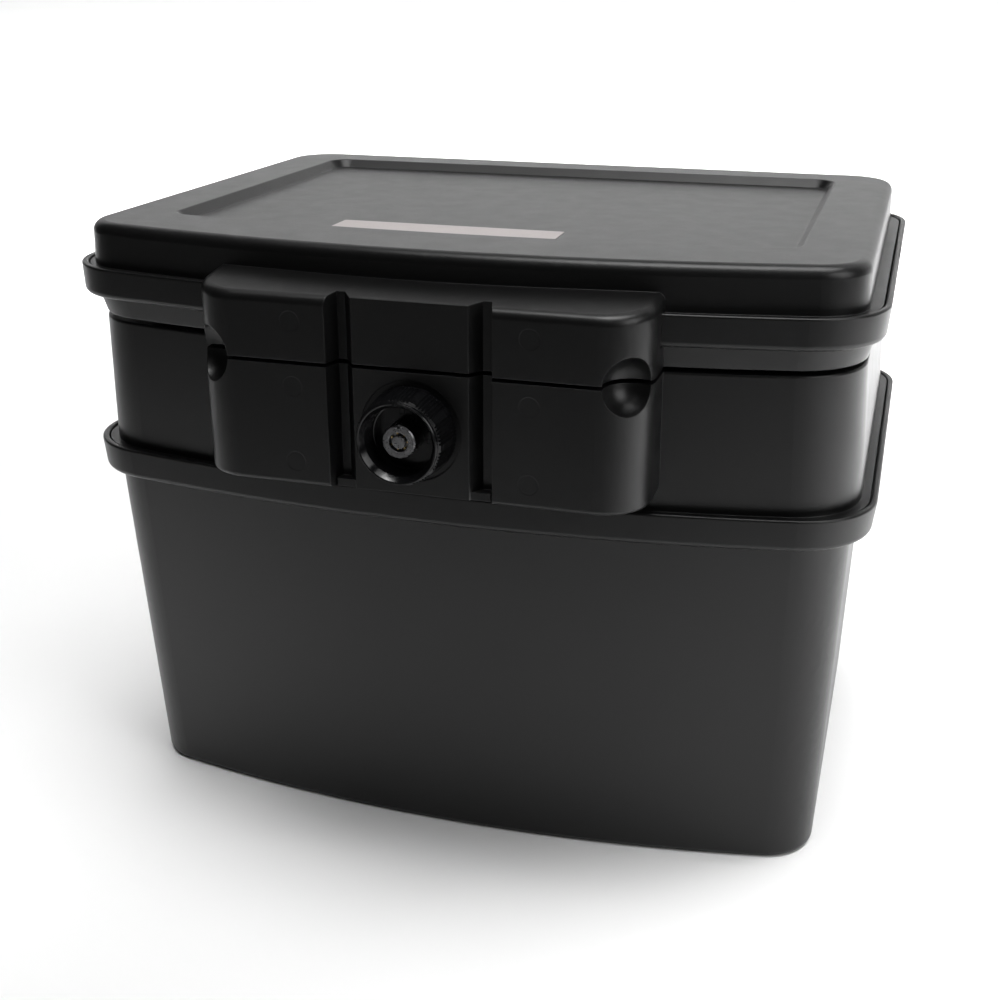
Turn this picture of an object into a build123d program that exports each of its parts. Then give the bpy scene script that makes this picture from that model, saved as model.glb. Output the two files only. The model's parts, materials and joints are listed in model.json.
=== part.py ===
from build123d import *

import os
from math import radians, sin

os.makedirs("parts", exist_ok=True)

# Frame: X to the right, Y to the back, Z up. The origin is on the face the box rests on,
# below the middle of the lid band's rectangle. All sizes are in millimetres.

# ---- driving dimensions ----
BAND_WIDTH = 430.0  # lid band, the widest part of the lid
BAND_DEPTH = 313.0  # lid band at its corners, without the bow of its front
BOW = 25.2  # how far the middle of the front stands out from its corners
FOOT_BOW = 23.0
SKIN = 3.2  # wall of the moulded shells

# heights
BELT_BOTTOM = 194.0
BELT_LIP = 210.7
BODY_TOP = 282.2
LID_BOTTOM = 284.2
PARTING = (BODY_TOP + LID_BOTTOM) / 2
BAND_BOTTOM = 296.1
BAND_LIP = 312.3
LID_TOP = 334.3

# insets of each level from the lid band: side, front, back
FOOT = (14.5, 28.4, 20.0)
TUB = (8.8, 12.0, 13.0)
BELT_FOOT = (-0.8, 6.6, 7.2)
BELT = (-2.8, 6.7, 6.7)
WALL_LOW = (5.0, 13.4, 13.4)
WALL_HIGH = (8.7, 9.4, 9.4)
NECK_LOW = (8.9, 9.4, 9.4)
NECK_HIGH = (6.0, 6.6, 6.6)
BAND_FOOT = (1.3, 0.4, 1.0)
BAND = (0.0, 0.0, 0.0)
COVER_LOW = (9.4, 6.8, 6.8)
COVER_HIGH = (10.5, 7.2, 7.2)

# plan corner radii
FOOT_CORNER = 29.0
TUB_CORNER = 34.0
WALL_CORNER = 40.0
BAND_CORNER = 44.0
COVER_CORNER = 27.6

# lips of the belt and the band: an upstanding edge, a fine groove, then the next shell's flange
LIP = 3.4
LIP_GROOVE = 0.7
LIP_EDGE = 1.1
FLANGE_DROP = 1.0

# latch block on the front
BLOCK_HALF = 114.1
BLOCK_FRONT = -204.9
BLOCK_CORNER = 24.0
BLOCK_BACK = -150.0
BLOCK_BOTTOM = 221.0
BLOCK_TOP_FRONT = 316.0
BLOCK_TOP_BACK = 320.6
BLOCK_TOP_RUN = 34.0
BLOCK_WALL = 3.0
CENTRE_FRONT = -201.9
CENTRE_HALF = 29.1
GROOVE_OUTER = 41.5
GROOVE_FLOOR = -194.8
GROOVE_FLOOR_INNER = 34.2
GROOVE_FLOOR_OUTER = 38.6
SCOOP_RADIUS = 14.4
SCOOP_X = 107.2
SCOOP_Y = -201.5
PIN_MARKS = [(59.3, 303.5), (59.3, 271.3), (59.3, 233.1)]
PIN_MARK_RADIUS = 5.0
PIN_MARK_DEPTH = 0.12

BLOCK_FOOT_EDGE = 2.5
CENTRE_LEDGE = 4.0
WALL_EDGE = 1.2
NECK_EDGE = 1.5
BELT_EDGE = 3.0
FOOT_EDGE = 3.5

# plugs of the filling holes in the base
PLUG_X = [-95.0, 95.0]
PLUG_Y = 0.0
PLUG_RADIUS = 12.0
PLUG_RECESS = 0.6
PLUG_EDGE = 0.6
PLUG_FIT = 0.05  # gap round the filling plugs and the lock plug

# document space
SPACE_HALF = 158.0
SPACE_FRONT = -122.0
SPACE_BACK = 110.0
SPACE_FLOOR = 44.0
SPACE_CORNER = 22.0
SPACE_DRAFT = 5.0
LINER_SKIN = 2.5
RIM = 5.0
RIM_REBATE = 14.0
LINER_FIT = 0.5  # gap round the inner tub where it hangs in the shell
REBATE_FIT = 0.2
SPACE_EDGE = 6.0
FILL_FIT = 0.2  # gap between the cast fill and the shells

# seal and plug panel under the lid
SEAL_LINE = 24.0  # middle of the seal, outside the document space
SEAL_WIDTH = 6.0
SEAL_DEPTH = 3.0
SEAL_GAP = 0.3
PANEL_DROP = 8.0
PANEL_GAP = 4.0
PANEL_EDGE = 2.0
SEAL_EDGE = 1.2
BLOCK_EDGE = 5.0

# lid cover and its recess
COVER_BOTTOM = BAND_BOTTOM + SKIN
COVER_EDGE = 6.0
RECESS_HALF = 170.0
RECESS_FRONT = -113.0
RECESS_BACK = 119.5
RECESS_BOW = 12.0
RECESS_DEPTH = 4.8
RECESS_CORNER = 12.0
RECESS_TOP_EDGE = 1.5
RECESS_FOOT_EDGE = 2.0
LABEL_X = -18.4
LABEL_Y = -98.0
LABEL_WIDTH = 124.6
LABEL_DEPTH = 35.6
LABEL_THICKNESS = 0.3
ROOM = 0.3  # gap between the block and the band behind it

# rear hinge
HINGE_Y = 166.5
HINGE_Z = 290.3
HINGE_X = 112.0
PIN_RADIUS = 3.0
PIN_HEAD_RADIUS = 4.8
PIN_HEAD = 2.0
LUG_RADIUS = 8.0
LID_LUG = 30.0
BODY_LUG = 14.0
LUG_GAP = 0.5
PIN_RUNNING = 0.08

# knob and lock, stacked from the front of the centre segment inwards
AXIS_Z = 253.2
KNOB_RIM_Y = -222.4
KNOB_RIM_RADIUS = 20.1
KNOB_RIM_INNER = 18.9
KNOB_BEVEL = 3.2
KNOB_INNER = 17.0
KNOB_SHOULDER_Y = -219.4  # front ends of the knurl
KNOB_SHOULDER_RADIUS = 21.2
KNOB_BASE_Y = -201.3
KNOB_BASE_RADIUS = 22.9
KNOB_SKIRT = 20.6
KNOB_FLOOR_Y = -207.9
KNOB_FLOOR = 4.4
KNOB_FLOOR_RADIUS = 15.9
KNURL_LOBES = 10
KNURL_TURN = 21.0  # first lobe, in degrees clockwise from the top
KNURL_GROOVES = 6
KNURL_PITCH = 4.6
KNURL_RADIUS = 0.65
INDEX_NOTCH = 2.2
KNOB_RECESS_RADIUS = 25.3
KNOB_RECESS = 1.0
RIM_EDGE = 0.4
HUB_RADIUS = 13.5
HUB_BORE = 13.8
CENTRE_WALL = 4.5
HOUSING_PLATE = 2.4
HOUSING_BACK_Y = -191.0
HUB_BACK_Y = -190.7
CRANK_DISC_RADIUS = 16.5
CRANK_DISC = 2.2
BARREL_FRONT_Y = -218.9
BARREL_BACK_Y = -198.9
BARREL_RADIUS = 8.25
BARREL_EDGE = 0.65
KEYWAY_RADIUS = 4.8
KEYWAY_FLOOR_Y = -215.9
POST_RADIUS = 3.2
POST_FRONT_Y = -219.1
KEY_PINS = 7
KEY_PIN_CIRCLE = 4.0
KEY_PIN_RADIUS = 0.45
KEY_PIN_LENGTH = 1.6

# latch: the crank pin moves the bar sideways by CRANK_THROW * sqrt(2) in a quarter turn
CRANK_THROW = 8.5
CRANK_PIN_RADIUS = 2.0
CRANK_ANGLE = 45.0
BAR_FRONT_Y = -188.0
BAR_BACK_Y = -185.0
BAR_X = (-76.0, 62.0)
BAR_LOW = 254.6
BAR_HIGH = 270.0
CRANK_SLOT_HALF = 2.6
CRANK_SLOT_Z = (256.6, 264.3)
STUD_SLOT_HALF = 2.8
BAR_TRAVEL = CRANK_THROW * 2 * sin(radians(CRANK_ANGLE))
HOOK_Y = (-190.4, -188.0)
HOOK_STEM_X = [52.0, -72.0]  # left side of each hook's stem
HOOK_STEM = 6.0
HOOK_TIP = 17.5
HOOK_TIP_LOW = 293.6
HOOK_TOP = 298.4
STRIKE_X = 21.6  # keeper bar, from the hook stem's left side
STRIKE_Z = 291.0
STRIKE_BAR_RADIUS = 2.0
STRIKE_TOP = 306.5
STRIKE_SCREWS = (20.0, 8.0)  # from the keeper bar
STRIKE_BOSS = 4.2
STRIKE_SCREW_RADIUS = 1.5
STRIKE_SCREW_LENGTH = 7.0
STRIKE_SCREW_HEAD = (2.8, 1.5)  # radius and height
STRIKE_SHEET = 2.0
STRIKE_LEG = 7.0
STRIKE_SPAN = 9.2
HOOK_MIDDLE = sum(HOOK_Y) / 2
HOOK_FOOT = 9.0
RIVET_RADIUS = 2.0
RIVET_Z = (259.0, 265.0)
GUIDE_Y = (-184.6, -183.0)
STUD_X = [30.0, -30.0]
STUD_RADIUS = 2.5
STUD_HEAD_RADIUS = 4.2
STUD_HEAD = 1.5
STUD_GAP = 0.3
GUIDE_SCREW_X = 88.0
GUIDE_Z = 262.0
GUIDE_SCREW_RADIUS = 1.8
GUIDE_SCREW_LENGTH = 10.0
GUIDE_SCREW_HEAD = (3.2, 1.8)  # radius and height
HOOK_SLOT = 20.5
HOUSING_HALF = 23.5
HOUSING_SCREW = 19.0
HOUSING_SCREW_RADIUS = 1.5
HOUSING_SCREW_LENGTH = 4.9
HOUSING_SCREW_HEAD = (2.8, 1.7)  # radius and height
HOUSING_RING_RADIUS = 20.5
BOSS_RADIUS = 5.0
WINDOW_HALF = 96.0
WINDOW_HEIGHT = 40.0
WINDOW_Z = 252.0

# lock bolt in the knob's hub, moved by the key cam
CAM_PIN_RADIUS = 1.0
BOLT_Y = (-196.0, -191.1)
BOLT_NOSE_HALF = 3.0
BOLT_BODY_HALF = 5.0
BOLT_LOW = -4.5
BOLT_SHOULDER = 4.5
BOLT_TOP = 13.2
BOLT_ROOM = 0.3
CAM_PIN = 2.0  # sideways and down from the axis at rest
CAM_SLOT_X = (-4.3, -0.6)
CAM_SLOT_HALF = 1.4
CAM_RADIUS = 4.6
CAM_FRONT_Y = -198.6
CAM_BACK_Y = -196.4
CAM_PIN_Y = -193.5
CRANK_SCREWS = [(-9.0, -4.0), (9.0, -4.0)]  # from the knob's axis
CRANK_SCREW_RADIUS = 1.2
CRANK_SCREW_HEAD = 2.2
CRANK_SCREW_DEPTH = 6.0
NOTCH_DEPTH = 18.2
NOTCH_ROOM = 0.4


def outline(height, inset, corner, bow=BOW, grow=0.0):
    """Plan of the box at one height: straight sides and back, bowed front, rounded corners."""
    side, front, back = inset
    half_width = BAND_WIDTH / 2 - side + grow
    front_y = -BAND_DEPTH / 2 + front - grow
    back_y = BAND_DEPTH / 2 - back + grow
    with BuildSketch(Plane.XY.offset(height)) as plan:
        with BuildLine():
            ThreePointArc((-half_width, front_y), (0, front_y - bow), (half_width, front_y))
            Polyline(
                (half_width, front_y), (half_width, back_y), (-half_width, back_y), (-half_width, front_y)
            )
        make_face()
        fillet(plan.vertices(), corner)
    return plan.sketch


def box_plan(height, half_width, front, back, corner):
    """Rounded rectangle on a level plane, from its front and back edges."""
    middle = (front + back) / 2
    with BuildSketch(Plane.XY.offset(height)) as plan:
        with Locations((0, middle)):
            RectangleRounded(2 * half_width, back - front, corner)
    return plan.sketch


def space_plan(height, draft, grow=0.0):
    """Plan of the document space at one height, narrowed by its draft."""
    change = grow - draft
    front = SPACE_FRONT - change
    return box_plan(height, SPACE_HALF + change, front, SPACE_BACK + change, SPACE_CORNER + grow)


def seal_plan(height, outer, inner):
    """Ring around the document space, between two offsets from the seal's middle line."""
    with BuildSketch(Plane.XY.offset(height)) as plan:
        add(space_plan(height, 0, SEAL_LINE + outer))
        add(space_plan(height, 0, SEAL_LINE + inner), mode=Mode.SUBTRACT)
    return plan.sketch


def recess_plan(height, grow):
    """Plan of the recess in the lid's top, with its bowed front edge."""
    half_width = RECESS_HALF + grow
    front = RECESS_FRONT - grow
    back = RECESS_BACK + grow
    with BuildSketch(Plane.XY.offset(height)) as plan:
        with BuildLine():
            ThreePointArc((-half_width, front), (0, front - RECESS_BOW), (half_width, front))
            Polyline((half_width, front), (half_width, back), (-half_width, back), (-half_width, front))
        make_face()
        fillet(plan.vertices(), RECESS_CORNER + grow)
    return plan.sketch


def across(y_front, x=0.0, z=AXIS_Z):
    """Upright plane at y_front that faces the front of the box, centred on (x, z)."""
    return Plane(origin=(x, y_front, z), x_dir=(1, 0, 0), z_dir=(0, -1, 0))


def save(builder, name):
    """Labels a finished piece and writes its STEP file."""
    builder.part.label = name
    export_step(builder.part, f"parts/{name}.step")


# ---- latch block: two side segments, a centre segment set back, and a groove each side of it ----
def groove_plan(height):
    """Everything that the centre recess and its two grooves take away from the block's plan."""
    with BuildSketch(Plane.XY.offset(height)) as plan:
        with BuildLine():
            Polyline(
                (0, BLOCK_FRONT - 5),
                (GROOVE_OUTER + 1, BLOCK_FRONT - 5),
                (GROOVE_OUTER, BLOCK_FRONT),
                (GROOVE_FLOOR_OUTER, GROOVE_FLOOR),
                (GROOVE_FLOOR_INNER, GROOVE_FLOOR),
                (CENTRE_HALF, CENTRE_FRONT),
                (0, CENTRE_FRONT),
            )
            mirror(about=Plane.YZ)
        make_face()
    return plan.sketch


def pocket_plan(height):
    """Plan of the hollow inside the block, one wall behind its outer faces."""
    inner_front = GROOVE_FLOOR + BLOCK_WALL
    with BuildSketch(Plane.XY.offset(height)) as plan:
        with Locations((0, (inner_front + BLOCK_BACK) / 2)):
            Rectangle(2 * (BLOCK_HALF - BLOCK_WALL), BLOCK_BACK - inner_front)
        for side in (-1, 1):
            low = GROOVE_OUTER + BLOCK_WALL
            high = BLOCK_HALF - BLOCK_WALL
            front = BLOCK_FRONT + BLOCK_WALL
            with Locations((side * (low + high) / 2, (front + inner_front) / 2 + 1)):
                Rectangle(high - low, inner_front - front + 2)
        centre_front = CENTRE_FRONT + CENTRE_WALL
        with Locations((0, (centre_front + inner_front) / 2 + 1)):
            Rectangle(2 * (CENTRE_HALF - BLOCK_WALL), inner_front - centre_front + 2)
        outer = plan.vertices().group_by(Axis.Y)[0]
        fillet(outer.sort_by(Axis.X)[0], BLOCK_CORNER - BLOCK_WALL)
        outer = plan.vertices().group_by(Axis.Y)[0]
        fillet(outer.sort_by(Axis.X)[-1], BLOCK_CORNER - BLOCK_WALL)
    return plan.sketch


def block_blank(bottom, height):
    """Solid block with rounded front corners, before its grooves are cut."""
    middle = (BLOCK_FRONT + BLOCK_BACK) / 2
    with BuildPart() as blank:
        with BuildSketch(Plane.XY.offset(bottom)):
            with Locations((0, middle)):
                Rectangle(2 * BLOCK_HALF, BLOCK_BACK - BLOCK_FRONT)
        extrude(amount=height)
        fillet(blank.edges().filter_by(Axis.Z).group_by(Axis.Y)[0], BLOCK_CORNER)
    return blank


def scoops(radius):
    """Ball at each end of the parting line, which makes the finger scoops."""
    with BuildPart() as balls:
        with Locations((-SCOOP_X, SCOOP_Y, PARTING), (SCOOP_X, SCOOP_Y, PARTING)):
            Sphere(radius)
    return balls.part


def pin_marks(low, high):
    """Shallow round marks on the side segments between two heights."""
    with BuildPart() as marks:
        for side in (-1, 1):
            for x, z in PIN_MARKS:
                if low < z < high:
                    with BuildSketch(across(BLOCK_FRONT + PIN_MARK_DEPTH, side * x, z)):
                        Circle(PIN_MARK_RADIUS)
                    extrude(amount=1)
    return marks.part


# ---- outer tub: tapered shell with the belt's upward-opening lip ----
with BuildPart() as belt:
    loft([outline(BELT_BOTTOM, BELT_FOOT, BAND_CORNER), outline(BELT_LIP, BELT, BAND_CORNER)])
    fillet(belt.edges().group_by(Axis.Z)[0], BELT_EDGE)

with BuildPart() as outer_tub:
    loft([outline(0, FOOT, FOOT_CORNER, FOOT_BOW), outline(BELT_BOTTOM + 1, TUB, TUB_CORNER)])
    fillet(outer_tub.edges().group_by(Axis.Z)[0], FOOT_EDGE)
    add(belt.part)
    inner_foot = outline(SKIN, FOOT, FOOT_CORNER - SKIN, FOOT_BOW, grow=-SKIN)
    inner_top = outline(BELT_BOTTOM + SKIN, TUB, TUB_CORNER - SKIN, grow=-SKIN)
    loft([inner_foot, inner_top], mode=Mode.SUBTRACT)
    channel = outline(BELT_BOTTOM + SKIN, BELT, BAND_CORNER - LIP, grow=-LIP)
    extrude(channel, amount=BELT_LIP, mode=Mode.SUBTRACT)
    fillet(outer_tub.edges().group_by(Axis.Z)[-1], LIP_EDGE)
    with Locations(*[(x, PLUG_Y, 0) for x in PLUG_X]):
        Cylinder(PLUG_RADIUS, 4 * SKIN, mode=Mode.SUBTRACT)
save(outer_tub, "outer_tub")

with BuildPart() as fill_plugs:
    with Locations(*[(x, PLUG_Y, PLUG_RECESS) for x in PLUG_X]):
        Cylinder(PLUG_RADIUS - PLUG_FIT, SKIN - PLUG_RECESS, align=(Align.CENTER, Align.CENTER, Align.MIN))
    chamfer(fill_plugs.edges().group_by(Axis.Z)[0], PLUG_EDGE)
save(fill_plugs, "fill_plugs")

# ---- lower half of the latch block ----
lower_blank = block_blank(BLOCK_BOTTOM, BODY_TOP - BLOCK_BOTTOM)
with BuildPart() as lower_block:
    add(lower_blank.part)
    fillet(lower_block.faces().sort_by(Axis.Z)[0].edges().sort_by(Axis.Y)[:-1], BLOCK_FOOT_EDGE)
    extrude(groove_plan(BLOCK_BOTTOM - 1), amount=BODY_TOP - BLOCK_BOTTOM + 2, mode=Mode.SUBTRACT)
    with BuildSketch(Plane.XY.offset(BLOCK_BOTTOM)):
        with Locations((0, CENTRE_FRONT + 6)):
            Rectangle(2 * GROOVE_OUTER - 4, 10)
    extrude(amount=CENTRE_LEDGE)
    add(scoops(SCOOP_RADIUS), mode=Mode.SUBTRACT)
    with BuildSketch(across(CENTRE_FRONT + KNOB_RECESS)):
        Circle(KNOB_RECESS_RADIUS)
    extrude(amount=5, mode=Mode.SUBTRACT)
    add(pin_marks(BLOCK_BOTTOM, BODY_TOP), mode=Mode.SUBTRACT)

with BuildPart() as lower_pocket:
    extrude(pocket_plan(BLOCK_BOTTOM + BLOCK_WALL), amount=BODY_TOP - BLOCK_BOTTOM - 2 * BLOCK_WALL)
    add(scoops(SCOOP_RADIUS + BLOCK_WALL), mode=Mode.SUBTRACT)

with BuildPart() as lower_shelled:
    add(lower_block.part)
    add(lower_pocket.part, mode=Mode.SUBTRACT)


# ---- hinge lugs ----
def lug(points, low, high, hole):
    """Hinge lug from low to high along X: an arm to the shell and a round eye about the pin."""
    with BuildPart() as piece:
        with BuildSketch(Plane.YZ.offset(low)):
            with BuildLine():
                Polyline(*points, close=True)
            make_face()
            with Locations((HINGE_Y, HINGE_Z)):
                Circle(LUG_RADIUS)
        extrude(amount=high - low)
        with BuildSketch(Plane.YZ.offset(low)):
            with Locations((HINGE_Y, HINGE_Z)):
                Circle(hole)
        extrude(amount=high - low, mode=Mode.SUBTRACT)
    return piece.part


BODY_ARM = [(145, 281.0), (145, 258.0), (168.5, 282.6), (166.5, HINGE_Z), (160.2, 285.4)]
LID_ARM = [(154, 310.0), (154, 298.5), (160.0, 293.0), (166.5, HINGE_Z), (172.5, 295.6), (162.0, 309.0)]


# ---- upper shell: wall, flange in the belt, rim, lower block and hinge lugs ----
wall_foot = BELT_BOTTOM + SKIN
with BuildPart() as shell_hollow:
    inner_low = outline(wall_foot, WALL_LOW, WALL_CORNER - SKIN, grow=-SKIN)
    inner_high = outline(BODY_TOP - RIM, WALL_HIGH, WALL_CORNER - SKIN, grow=-SKIN)
    loft([inner_low, inner_high])

with BuildPart() as mechanism_bosses:
    with Locations(*[across(GUIDE_Y[0], x, GUIDE_Z).location for x in (-GUIDE_SCREW_X, GUIDE_SCREW_X)]):
        Cylinder(BOSS_RADIUS, GUIDE_Y[0] - BLOCK_FRONT - 1, align=(Align.CENTER, Align.CENTER, Align.MIN))

with BuildPart() as upper_shell:
    loft([outline(wall_foot, WALL_LOW, WALL_CORNER), outline(BODY_TOP, WALL_HIGH, WALL_CORNER)])
    fillet(upper_shell.edges().group_by(Axis.Z)[-1], WALL_EDGE)
    flange = outline(wall_foot, BELT, BAND_CORNER - LIP - LIP_GROOVE, grow=-LIP - LIP_GROOVE)
    extrude(flange, amount=BELT_LIP - wall_foot - FLANGE_DROP)
    add(lower_shelled.part)
    add(mechanism_bosses.part)
    add(shell_hollow.part, mode=Mode.SUBTRACT)
    extrude(
        space_plan(BODY_TOP - RIM - 1, 0, LINER_SKIN + LINER_FIT),
        amount=RIM + 2, mode=Mode.SUBTRACT,
    )
    extrude(
        space_plan(BODY_TOP - LINER_SKIN, 0, RIM_REBATE + REBATE_FIT),
        amount=LINER_SKIN + 1, mode=Mode.SUBTRACT,
    )
    with BuildSketch(across(BLOCK_BACK, 0, WINDOW_Z)):
        RectangleRounded(2 * WINDOW_HALF, WINDOW_HEIGHT, 6)
    extrude(amount=BLOCK_BACK - GUIDE_Y[1], mode=Mode.SUBTRACT)
    for centre in (-HINGE_X, HINGE_X):
        for side in (-1, 1):
            near = centre + side * (LID_LUG / 2 + LUG_GAP)
            far = near + side * BODY_LUG
            add(lug(BODY_ARM, min(near, far), max(near, far), PIN_RADIUS))
    # knob bore, screw holes of the housing and the guide plate, and slots for the hooks
    with BuildSketch(across(GROOVE_FLOOR)):
        Circle(HUB_BORE)
        with GridLocations(2 * HOUSING_SCREW, 2 * HOUSING_SCREW, 2, 2):
            Circle(HOUSING_SCREW_RADIUS)
    extrude(amount=GROOVE_FLOOR - CENTRE_FRONT - 1.8, mode=Mode.SUBTRACT)
    with BuildSketch(across(GROOVE_FLOOR)):
        Circle(HUB_BORE)
    extrude(amount=10, mode=Mode.SUBTRACT)
    with BuildSketch(across(GUIDE_Y[0], 0, GUIDE_Z)):
        with Locations((-GUIDE_SCREW_X, 0), (GUIDE_SCREW_X, 0)):
            Circle(GUIDE_SCREW_RADIUS)
    extrude(amount=GUIDE_SCREW_LENGTH, mode=Mode.SUBTRACT)
    with BuildSketch(Plane.XY.offset(BODY_TOP - 2 * BLOCK_WALL)):
        for stem in HOOK_STEM_X:
            with Locations((stem + HOOK_SLOT / 2 - 1, HOOK_MIDDLE)):
                Rectangle(HOOK_SLOT, HOOK_Y[1] - HOOK_Y[0] + 2)
    extrude(amount=4 * BLOCK_WALL, mode=Mode.SUBTRACT)
save(upper_shell, "upper_shell")

# ---- inner tub ----
with BuildPart() as document_space:
    loft([space_plan(SPACE_FLOOR, SPACE_DRAFT), space_plan(BODY_TOP + 1, 0)])
    fillet(document_space.edges().group_by(Axis.Z)[0], SPACE_EDGE)

with BuildPart() as inner_tub:
    tub_floor = space_plan(SPACE_FLOOR - LINER_SKIN, SPACE_DRAFT, LINER_SKIN)
    loft([tub_floor, space_plan(BODY_TOP - LINER_SKIN, 0, LINER_SKIN)])
    fillet(inner_tub.edges().group_by(Axis.Z)[0], SPACE_EDGE + 2)
    extrude(space_plan(BODY_TOP - LINER_SKIN, 0, RIM_REBATE), amount=LINER_SKIN)
    add(document_space.part, mode=Mode.SUBTRACT)
save(inner_tub, "inner_tub")

# ---- plate that closes the mechanism window from inside ----
with BuildPart() as latch_cover:
    loft([outline(wall_foot, WALL_LOW, WALL_CORNER - SKIN, grow=-SKIN - 0.1),
          outline(BODY_TOP, WALL_HIGH, WALL_CORNER - SKIN, grow=-SKIN - 0.1)])
    loft([outline(wall_foot, WALL_LOW, WALL_CORNER - SKIN - 2, grow=-SKIN - 2.1),
          outline(BODY_TOP, WALL_HIGH, WALL_CORNER - SKIN - 2, grow=-SKIN - 2.1)], mode=Mode.SUBTRACT)
    with BuildSketch(across(0, 0, WINDOW_Z)):
        RectangleRounded(2 * WINDOW_HALF + 16, WINDOW_HEIGHT + 8, 8)
    extrude(amount=-BLOCK_FRONT, mode=Mode.INTERSECT)
save(latch_cover, "latch_cover")

# ---- cast insulation between the shells ----
with BuildPart() as body_insulation:
    loft([outline(SKIN + FILL_FIT, FOOT, FOOT_CORNER - SKIN, FOOT_BOW, grow=-SKIN - FILL_FIT),
          outline(wall_foot, TUB, TUB_CORNER - SKIN, grow=-SKIN - FILL_FIT)])
    loft([outline(wall_foot, WALL_LOW, TUB_CORNER - SKIN, grow=-SKIN - 8),
          outline(BODY_TOP - RIM - FILL_FIT, WALL_HIGH, TUB_CORNER - SKIN, grow=-SKIN - 5)])
    loft([space_plan(SPACE_FLOOR - LINER_SKIN - FILL_FIT, SPACE_DRAFT, LINER_SKIN + FILL_FIT),
          space_plan(BODY_TOP, 0, LINER_SKIN + FILL_FIT)], mode=Mode.SUBTRACT)
save(body_insulation, "body_insulation")

# ---- fixed housing behind the knob: plate, ring and the two notches of the lock bolt ----
with BuildPart() as knob_housing:
    with BuildSketch(across(CENTRE_FRONT + CENTRE_WALL + HOUSING_PLATE)):
        RectangleRounded(2 * HOUSING_HALF, 2 * HOUSING_HALF, 4)
    extrude(amount=HOUSING_PLATE)
    with BuildSketch(across(HOUSING_BACK_Y)):
        Circle(HOUSING_RING_RADIUS)
    extrude(amount=HOUSING_BACK_Y - CENTRE_FRONT - CENTRE_WALL)
    with BuildSketch(across(HOUSING_BACK_Y)):
        Circle(HUB_BORE)
        for quarter in (0, 90):
            with Locations(Location((0, 0, 0), (0, 0, -quarter))):
                with Locations((0, NOTCH_DEPTH / 2)):
                    Rectangle(2 * (BOLT_NOSE_HALF + NOTCH_ROOM), NOTCH_DEPTH)
        with GridLocations(2 * HOUSING_SCREW, 2 * HOUSING_SCREW, 2, 2):
            Circle(HOUSING_SCREW_RADIUS)
    extrude(amount=10, mode=Mode.SUBTRACT)
save(knob_housing, "knob_housing")


def screw(y_head, x, z, radius, length, head_radius, head):
    """Pan-head screw that points to the front, with a cross recess in its head."""
    with BuildPart() as piece:
        with BuildSketch(across(y_head, x, z)):
            Circle(radius)
        extrude(amount=length)
        with BuildSketch(across(y_head, x, z)):
            Circle(head_radius)
        extrude(amount=-head)
        fillet(piece.edges().filter_by(GeomType.CIRCLE).sort_by(Axis.Y)[-1], 0.4 * head)
        with BuildSketch(across(y_head + head, x, z)):
            Rectangle(1.1 * head_radius, 0.25 * head_radius)
            Rectangle(0.25 * head_radius, 1.1 * head_radius)
        extrude(amount=0.5 * head, mode=Mode.SUBTRACT)
    return piece.part


with BuildPart() as housing_screws:
    plate_back = CENTRE_FRONT + CENTRE_WALL + HOUSING_PLATE
    for x in (-HOUSING_SCREW, HOUSING_SCREW):
        for dz in (-HOUSING_SCREW, HOUSING_SCREW):
            add(screw(plate_back, x, AXIS_Z + dz, HOUSING_SCREW_RADIUS, HOUSING_SCREW_LENGTH,
                      *HOUSING_SCREW_HEAD))
save(housing_screws, "housing_screws")

with BuildPart() as guide_plate:
    with BuildSketch(across(GUIDE_Y[1], 0, GUIDE_Z)):
        RectangleRounded(2 * GUIDE_SCREW_X + 12, 26, 4)
        with Locations((-GUIDE_SCREW_X, 0), (GUIDE_SCREW_X, 0)):
            Circle(GUIDE_SCREW_RADIUS, mode=Mode.SUBTRACT)
        with Locations(*[(x, 0) for x in STUD_X]):
            Circle(STUD_RADIUS, mode=Mode.SUBTRACT)
    extrude(amount=GUIDE_Y[1] - GUIDE_Y[0])
save(guide_plate, "guide_plate")

with BuildPart() as guide_studs:
    for x in STUD_X:
        with BuildSketch(across(GUIDE_Y[1], x, GUIDE_Z)):
            Circle(STUD_RADIUS)
        extrude(amount=GUIDE_Y[1] - BAR_FRONT_Y + STUD_GAP)
        with BuildSketch(across(BAR_FRONT_Y - STUD_GAP, x, GUIDE_Z)):
            Circle(STUD_HEAD_RADIUS)
        extrude(amount=STUD_HEAD)
save(guide_studs, "guide_studs")

with BuildPart() as guide_screws:
    for x in (-GUIDE_SCREW_X, GUIDE_SCREW_X):
        add(screw(GUIDE_Y[1], x, GUIDE_Z, GUIDE_SCREW_RADIUS, GUIDE_SCREW_LENGTH, *GUIDE_SCREW_HEAD))
save(guide_screws, "guide_screws")


def hinge_pin(centre, name):
    """Steel pin through one hinge's three lugs, with a flat round head at its outer end."""
    reach = LID_LUG / 2 + LUG_GAP + BODY_LUG
    outward = 1 if centre > 0 else -1
    with BuildPart() as pin:
        with BuildSketch(Plane.YZ.offset(centre - reach)):
            with Locations((HINGE_Y, HINGE_Z)):
                Circle(PIN_RADIUS)
        extrude(amount=2 * reach)
        with BuildSketch(Plane.YZ.offset(centre + outward * reach)):
            with Locations((HINGE_Y, HINGE_Z)):
                Circle(PIN_HEAD_RADIUS)
        extrude(amount=PIN_HEAD * outward)
    save(pin, name)


hinge_pin(-HINGE_X, "hinge_pin_left")
hinge_pin(HINGE_X, "hinge_pin_right")

# ---- lid liner: band, neck, underside with the seal's groove, plug panel and hinge lugs ----
with BuildPart() as band:
    loft([outline(BAND_BOTTOM, BAND_FOOT, BAND_CORNER - 2), outline(BAND_LIP, BAND, BAND_CORNER)])
    fillet(band.edges().group_by(Axis.Z)[0], BELT_EDGE)

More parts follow.
